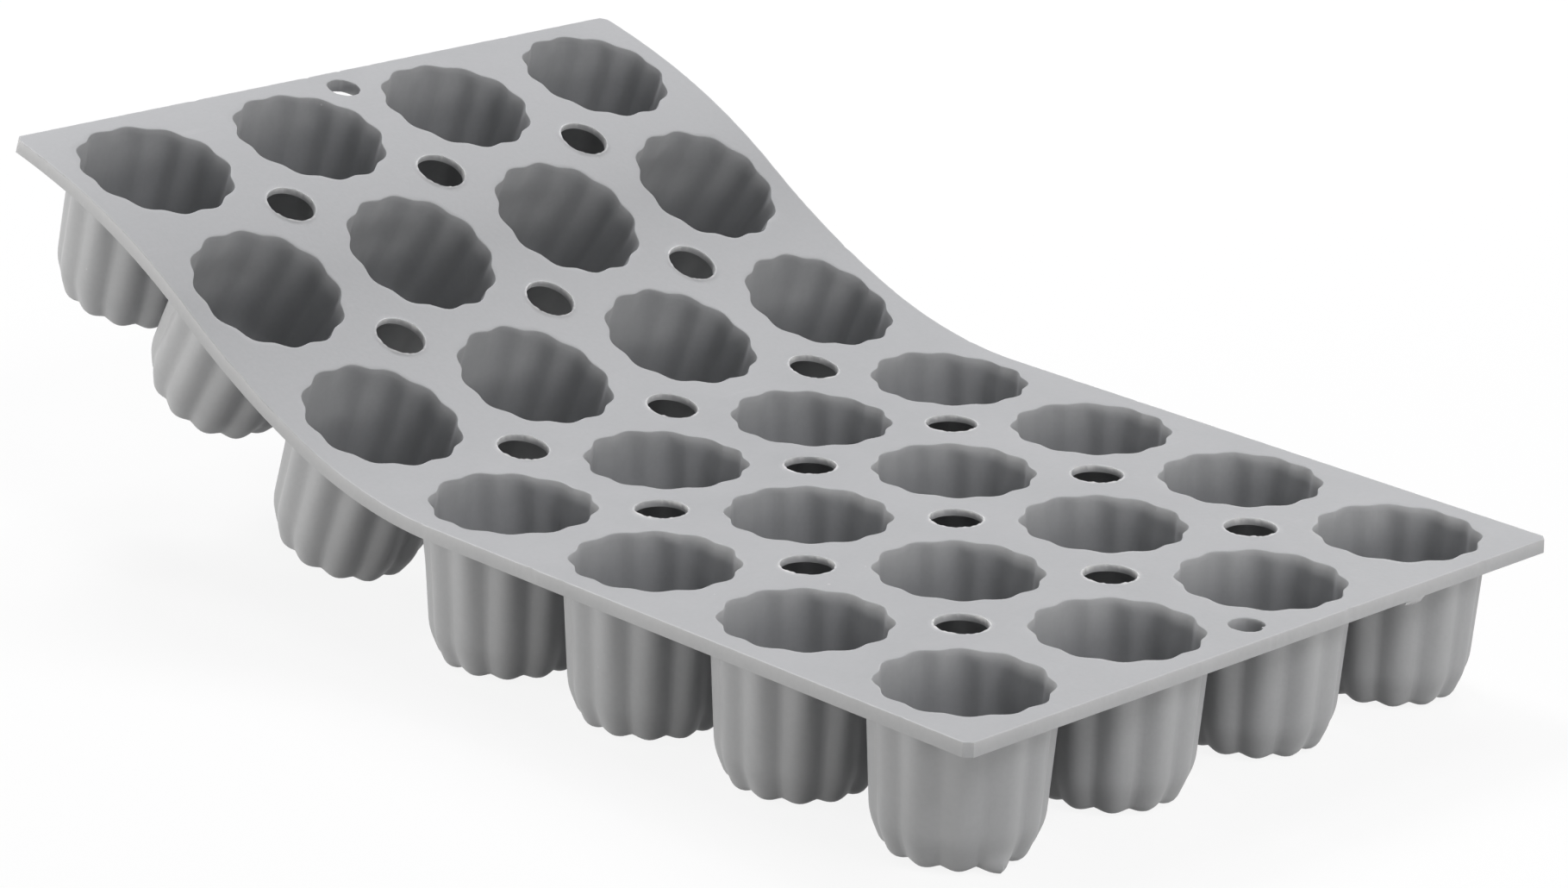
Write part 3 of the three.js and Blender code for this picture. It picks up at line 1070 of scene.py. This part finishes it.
@dataclass(frozen=True)
class SiliconeFinish:
    """Matt grey cast silicone: cloudy colour, pale specks of dust, faint scuffs, a fine skin, and a pale tone
    for flash that also paints highlights on burrs, edges and lips.
    """

    name: str
    dark: Colour
    light: Colour
    speck: Colour = (0.52, 0.52, 0.53, 1.0)
    # Pale colour of thin flash, also used for painted highlights on burrs, sheet edges and mouth lips.
    flash_and_highlight: Colour = (0.66, 0.66, 0.66, 1.0)
    roughness: float = 0.52
    specular: float = 0.36
    clouds: Noise = Noise(38.0, 5.0, 0.6)
    middle_tone: float = 0.5
    cloud_tone: float = 1.5
    cloud_roughness: float = 0.2
    cloud_height: float = 0.5
    grain: Noise = Noise(900.0, 2.0, 0.5)
    grain_tone: float = 0.55
    grain_roughness: float = 0.1
    grain_height: float = 0.7
    specks_per_metre: float = 230.0
    speck_share: float = 0.1
    speck_size: float = 0.03
    speck_growth: float = 0.07
    speck_edge: float = 0.02
    speck_roughness: float = 0.12
    speck_height: float = 0.4
    streaks: Noise = Noise(1.0, 3.0, 0.7)
    scuff_stretch: tuple[float, float, float] = (14.0, 240.0, 240.0)
    scuff_streaks: tuple[float, float] = (0.62, 0.74)
    scuff_clouds: tuple[float, float] = (0.42, 0.6)
    scuff_strength: float = 0.12
    bump_strength: float = 0.18
    bump_distance: float = 0.0002

    def material(self) -> bpy.types.Material:
        """Make the material.

        Returns:
            Material that reads object coordinates and the attribute of pale flash and painted highlights.
        """
        made = bpy.data.materials.new(self.name)
        made.use_nodes = True
        bench = Bench(made.node_tree)
        place = bench.node("ShaderNodeTexCoord", {}, {}).outputs["Object"]
        clouds = self.clouds.at(bench, place)
        grain = self.grain.at(bench, place)
        stretched = bench.node("ShaderNodeMapping", {}, {"Vector": place, "Scale": self.scuff_stretch})
        streaks = self.streaks.at(bench, stretched.outputs[0])
        scuffs = streaks.between(*self.scuff_streaks) * clouds.between(*self.scuff_clouds)
        cells = bench.node("ShaderNodeTexVoronoi", {}, {"Vector": place, "Scale": self.specks_per_metre})
        pick = bench.node("ShaderNodeSeparateColor", {}, {0: cells.outputs["Color"]})
        chosen = Value(bench, pick.outputs[0]).between(1.0 - self.speck_share, 1.0)
        reach = self.speck_size + self.speck_growth * Value(bench, pick.outputs[1])
        specks = (reach - Value(bench, cells.outputs["Distance"])).between(0.0, self.speck_edge) * chosen
        flash_and_highlight = bench.value("ShaderNodeAttribute", {"attribute_name": "flash_and_highlight"}, {}, "Fac")
        cloudy, grainy = clouds - Noise.MIDDLE, grain - Noise.MIDDLE
        tone = self.middle_tone + self.cloud_tone * cloudy + self.grain_tone * grainy
        colour = bench.mixed(tone, self.dark, self.light)
        colour = bench.mixed(specks.larger(scuffs * self.scuff_strength), colour, self.speck)
        # Lighten towards the pale colour: real flash, and painted highlights on burrs, edges and lips.
        colour = bench.mixed(flash_and_highlight.between(0.0, 1.0), colour, self.flash_and_highlight)
        roughness = self.roughness + self.cloud_roughness * cloudy + self.grain_roughness * grainy
        roughness = roughness + self.speck_roughness * specks
        height = self.grain_height * grain + self.cloud_height * clouds + self.speck_height * specks
        bump = bench.node("ShaderNodeBump", {}, {
            "Height": height, "Strength": self.bump_strength, "Distance": self.bump_distance})
        shader = bench.node("ShaderNodeBsdfPrincipled", {}, {
            "Base Color": colour, "Roughness": roughness, "Normal": bump.outputs[0],
            "Specular IOR Level": self.specular})
        bench.node("ShaderNodeOutputMaterial", {}, {"Surface": shader.outputs[0]})
        return made


class LampTone(Enum):
    """Colours of the lamps."""

    COOL = (0.988, 0.985, 1.0)
    WARM = (1.0, 0.985, 0.955)


@dataclass(frozen=True)
class Lamp:
    """A soft lamp that points at the mould and isn't seen itself."""

    name: str
    place: tuple[float, float, float]
    size: tuple[float, float]
    power: float
    tone: LampTone

    def hang(self) -> bpy.types.Object:
        """Make the lamp and turn it towards the frame's origin.

        Returns:
            The lamp's object.
        """
        light = bpy.data.lights.new(self.name, "AREA")
        light.energy = self.power
        light.shape = "RECTANGLE"
        light.size, light.size_y = self.size
        light.color = self.tone.value
        hung = bpy.data.objects.new(self.name, light)
        hung.visible_camera = False
        hung.location = self.place
        hung.rotation_euler = (-Vector(self.place)).to_track_quat("-Z", "Y").to_euler()
        bpy.context.scene.collection.objects.link(hung)
        return hung


@dataclass(frozen=True)
class Studio:
    """White floor, soft dome of light, lamps and the camera."""

    background: Colour = (1.0, 1.0, 1.0, 1.0)
    floor_radius: float = 4.0
    floor_rings: int = 9
    floor_turns: int = 96
    floor_height: float = -0.0003
    floor_white: Colour = (0.9, 0.9, 0.9, 1.0)
    floor_bounce: Colour = (0.215, 0.215, 0.215, 1.0)
    floor_glow: float = 0.88
    dome_light: Colour = (0.965, 0.985, 1.0, 1.0)
    dome_strength: float = 0.13
    lamps: tuple[Lamp, ...] = (
        Lamp("back_lamp", (0.51, 1.09, 1.34), (0.5, 0.5), 17.0, LampTone.COOL),
        Lamp("right_lamp", (1.13, 0.41, 1.34), (0.5, 0.5), 8.1, LampTone.COOL),
        Lamp("key_lamp", (0.0, -1.2, 1.34), (0.5, 0.5), 8.1, LampTone.COOL),
        Lamp("front_lamp", (-0.13, -1.48, 0.6), (0.4, 0.4), 2.2, LampTone.COOL),
        Lamp("left_lamp", (-1.14, 0.95, 0.6), (0.4, 0.4), 2.4, LampTone.COOL),
        Lamp("low_left_lamp", (-1.47, 0.26, 0.105), (0.9, 0.16), 10.0, LampTone.WARM),
        Lamp("low_near_right_lamp", (1.24, -0.84, 0.105), (0.7, 0.16), 3.2, LampTone.WARM),
        Lamp("low_right_lamp", (1.5, 0.4, 0.12), (1.3, 0.2), 4.0, LampTone.WARM),
        Lamp("low_back_lamp", (-0.3, 1.6, 0.12), (1.3, 0.2), 4.2, LampTone.WARM),
        Lamp("flat_end_lamp", (0.02, -0.5, 0.09), (0.3, 0.12), 0.58, LampTone.WARM),
        Lamp("raised_end_lamp", (-0.35, 0.28, 0.06), (0.3, 0.1), 0.32, LampTone.WARM),
    )
    camera_offset: tuple[float, float, float] = (-745.6, -615.1, 361.1)
    camera_azimuth: float = -45.62
    camera_elevation: float = 18.96
    camera_roll: float = 2.23
    lens: float = 118.85
    sensor: float = 36.0

    def _seen_directly(self, bench: Bench) -> Value:
        """1 for rays that should see the plain background, and 0 for rays that light the object."""
        path = bench.node("ShaderNodeLightPath", {}, {})
        camera = Value(bench, path.outputs["Is Camera Ray"])
        glossy = Value(bench, path.outputs["Is Glossy Ray"])
        through = Value(bench, path.outputs["Is Transmission Ray"])
        return camera.larger(glossy).larger(through)

    def add_floor(self) -> bpy.types.Object:
        """Lay a round floor that looks white and still takes the mould's shadow.

        Returns:
            The floor's object.
        """
        turn = np.linspace(0.0, FULL_TURN, self.floor_turns + 1)[None, :]
        reach = np.linspace(0.0, self.floor_radius / MM, self.floor_rings)[:, None]
        level = np.full((self.floor_rings, self.floor_turns + 1), self.floor_height / MM)
        points = np.stack([reach * np.cos(turn), reach * np.sin(turn), level], axis=-1)
        material = bpy.data.materials.new("studio_floor")
        material.use_nodes = True
        bench = Bench(material.node_tree)
        lit = bench.node("ShaderNodeBsdfDiffuse", {}, {"Color": self.floor_white})
        glow = bench.node("ShaderNodeEmission", {}, {"Strength": 1.0})
        bounce = bench.node("ShaderNodeBsdfDiffuse", {}, {"Color": self.floor_bounce})
        shown = bench.node("ShaderNodeMixShader", {}, {
            0: self.floor_glow, 1: lit.outputs[0], 2: glow.outputs[0]})
        both = bench.node("ShaderNodeMixShader", {}, {
            0: self._seen_directly(bench), 1: bounce.outputs[0], 2: shown.outputs[0]})
        bench.node("ShaderNodeOutputMaterial", {}, {"Surface": both.outputs[0]})
        surface = Surface()
        surface.add(points)
        floor = surface.to_object("studio_floor", material)
        return floor

    def add_lights(self) -> None:
        """Light the world evenly, show it as white, and hang the lamps."""
        world = bpy.data.worlds.new("studio_dome")
        bpy.context.scene.world = world
        world.use_nodes = True
        bench = Bench(world.node_tree)
        dome = bench.node("ShaderNodeBackground", {}, {
            "Color": self.dome_light, "Strength": self.dome_strength})
        white = bench.node("ShaderNodeBackground", {}, {"Color": self.background, "Strength": 1.0})
        both = bench.node("ShaderNodeMixShader", {}, {
            0: self._seen_directly(bench), 1: dome.outputs[0], 2: white.outputs[0]})
        bench.node("ShaderNodeOutputWorld", {}, {"Surface": both.outputs[0]})
        for lamp in self.lamps:
            lamp.hang()

    def add_camera(self, sizes: MouldSizes) -> bpy.types.Object:
        """Set the camera where the photograph was taken from, measured from the last row's middle.

        Args:
            sizes: Sizes of the mould, for the last row's place.

        Returns:
            The camera's object.
        """
        azimuth, elevation = math.radians(self.camera_azimuth), math.radians(self.camera_elevation)
        roll = math.radians(self.camera_roll)
        back = Vector((math.sin(azimuth) * math.cos(elevation), -math.cos(azimuth) * math.cos(elevation),
                       math.sin(elevation)))
        level = Vector((math.cos(azimuth), math.sin(azimuth), 0.0))
        upright = back.cross(level)
        right = level * math.cos(roll) + upright * math.sin(roll)
        up = upright * math.cos(roll) - level * math.sin(roll)
        middle = Vector((0.0, sizes.flat_row_y, sizes.sheet_height))
        lens = bpy.data.cameras.new("photo_camera")
        lens.lens = self.lens
        lens.sensor_width = self.sensor
        camera = bpy.data.objects.new("photo_camera", lens)
        place = (middle + Vector(self.camera_offset)) * MM
        camera.matrix_world = Matrix.Translation(place) @ Matrix((right, up, back)).transposed().to_4x4()
        bpy.context.scene.collection.objects.link(camera)
        bpy.context.scene.camera = camera
        return camera


@dataclass
class Mould:
    """The whole mould: six panels of sheet, twenty-eight cups and a scrap of flash."""

    sizes: MouldSizes
    bend: Bend = field(default_factory=Bend)
    shape: CupShape = field(default_factory=CupShape)
    inner_fluting: Fluting = Fluting(base_depth=1.1, base_sharpness=0.4, grows_from=1.3, grows_to=8.0)
    outer_fluting: Fluting = Fluting(mouth_depth=1.25, base_depth=1.05)
    toe_spur: ToeSpur = ToeSpur()
    edge_flash: EdgeFlash = EdgeFlash()
    detail: SheetDetail = field(default_factory=SheetDetail)
    sheet_finish: SiliconeFinish = SiliconeFinish(
        "sheet_silicone", (0.344, 0.348, 0.357, 1.0), (0.413, 0.416, 0.425, 1.0))
    cup_finish: SiliconeFinish = SiliconeFinish(
        "cup_silicone", (0.335, 0.34, 0.348, 1.0), (0.396, 0.399, 0.408, 1.0),
        speck_share=0.06, scuff_stretch=(200.0, 200.0, 16.0))

    def build(self) -> list[bpy.types.Object]:
        """Make and place every piece.

        Returns:
            The pieces, sheet first.
        """
        curve = SheetCurve(self.sizes, self.bend)
        sheet = self.sheet_finish.material()
        cups = self.cup_finish.material()
        made = [
            SheetPanel(curve, self.shape, self.inner_fluting, self.detail, row).build(sheet)
            for row in range(1, self.sizes.rows)
        ]
        made += [
            FlutedCup(curve, self.shape, self.inner_fluting, self.outer_fluting, self.toe_spur,
                      row, column).build(cups)
            for row in range(1, self.sizes.rows + 1)
            for column in range(1, self.sizes.columns + 1)
        ]
        return [*made, self.edge_flash.build(curve, cups)]


def main() -> None:
    """Build the studio and the mould, and report each piece."""
    logging.basicConfig(level=logging.INFO, format="%(name)s: %(message)s")
    bpy.context.scene.view_settings.view_transform = "Standard"
    sizes = MouldSizes.from_frame()
    studio = Studio()
    studio.add_camera(sizes)
    studio.add_lights()
    studio.add_floor()
    for piece in Mould(sizes).build():
        log.info("%s has %d faces", piece.name, len(piece.data.polygons))


if __name__ == "__main__":
    main()
